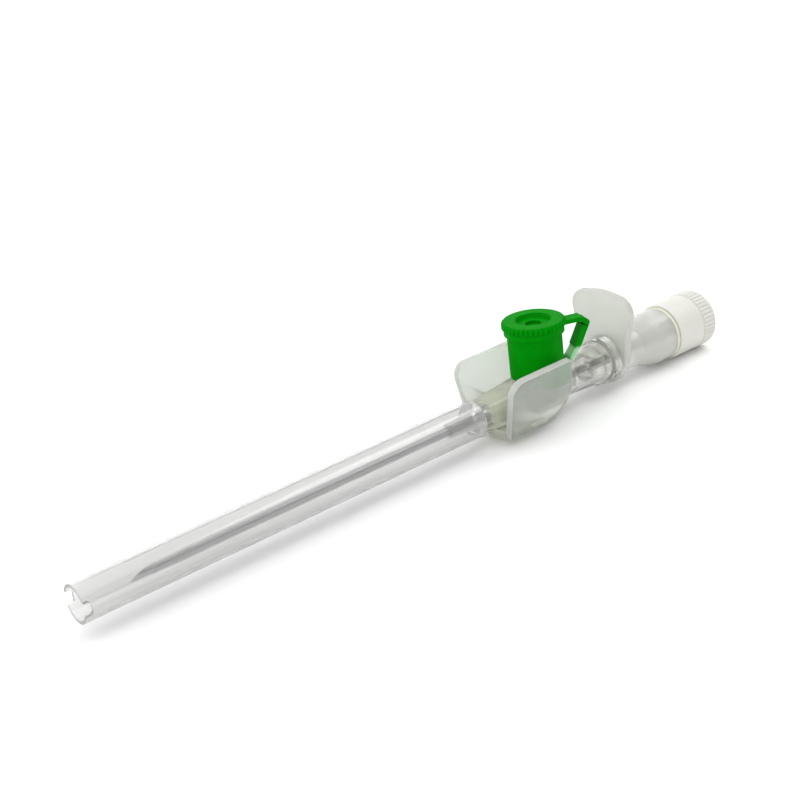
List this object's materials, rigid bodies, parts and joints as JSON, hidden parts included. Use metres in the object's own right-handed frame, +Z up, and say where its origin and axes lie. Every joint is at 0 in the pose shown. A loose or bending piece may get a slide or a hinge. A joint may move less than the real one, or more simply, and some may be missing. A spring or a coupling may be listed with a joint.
{
  "type": "iv cannula",
  "caption": "Winged intravenous cannula with a capped green injection port, clear needle cover, steel needle, frosted grip plate, flash chamber and white lock cap.",
  "frame": {"origin": "on the skin face under the hub's floor, straight below the injection port's axis", "axes": "+X along the cannula towards the rear lock cap, +Z up along the injection port, the needle points to -X"},
  "size_m": [0.1045, 0.0122, 0.0144],
  "materials": {
    "clear_hub_plastic": "clear",
    "clear_cover_plastic": "clear",
    "frosted_plastic": "frosted",
    "soft_tube_plastic": "satin",
    "green_plastic": "satin",
    "white_plastic": "satin",
    "pale_plastic": "satin",
    "membrane": "matt",
    "silicone": "matt",
    "needle_steel": "drawn",
    "eyelet_steel": "bright"
  },
  "bodies": {
    "cannula": {"catheter_hub": "clear_hub_plastic", "catheter_tube": "soft_tube_plastic", "catheter_eyelet": "eyelet_steel", "port_valve": "silicone", "port_collar": "green_plastic"},
    "cap": {"port_cap": "green_plastic"},
    "near_wing": {"wing_near": "frosted_plastic"},
    "far_wing": {"wing_far": "frosted_plastic"},
    "cover": {"needle_cover": "clear_cover_plastic"},
    "needle_unit": {"needle": "needle_steel", "needle_hub": "frosted_plastic"},
    "vent": {"filter_plug": "pale_plastic", "filter_membrane": "membrane"},
    "lock": {"lock_cap": "white_plastic"}
  },
  "joints": [
    {"name": "cap_hinge", "type": "hinge", "parent": "cannula", "child": "cap", "pos_m": [0.00677, -0.00273, 0.0114], "axis": [0.3746, 0.9272, 0], "range_deg": [0, 100]},
    {"name": "near_wing_hinge", "type": "hinge", "parent": "cannula", "child": "near_wing", "pos_m": [0, -0.00365, 0.0005], "axis": [1, 0, 0], "range_deg": [0, 73]},
    {"name": "far_wing_hinge", "type": "hinge", "parent": "cannula", "child": "far_wing", "pos_m": [0, 0.00365, 0.0005], "axis": [-1, 0, 0], "range_deg": [0, 81]},
    {"name": "cover_slide", "type": "slide", "parent": "cannula", "child": "cover", "axis": [-1, 0, 0], "range_m": [0, 0.06]},
    {"name": "needle_slide", "type": "slide", "parent": "cannula", "child": "needle_unit", "axis": [1, 0, 0], "range_m": [0, 0.08]},
    {"name": "vent_slide", "type": "slide", "parent": "needle_unit", "child": "vent", "axis": [1, 0, 0], "range_m": [0, 0.008]},
    {"name": "lock_turn", "type": "hinge", "parent": "vent", "child": "lock", "pos_m": [0.028, 0, 0.0031], "axis": [1, 0, 0], "range_deg": [0, 120]}
  ]
}
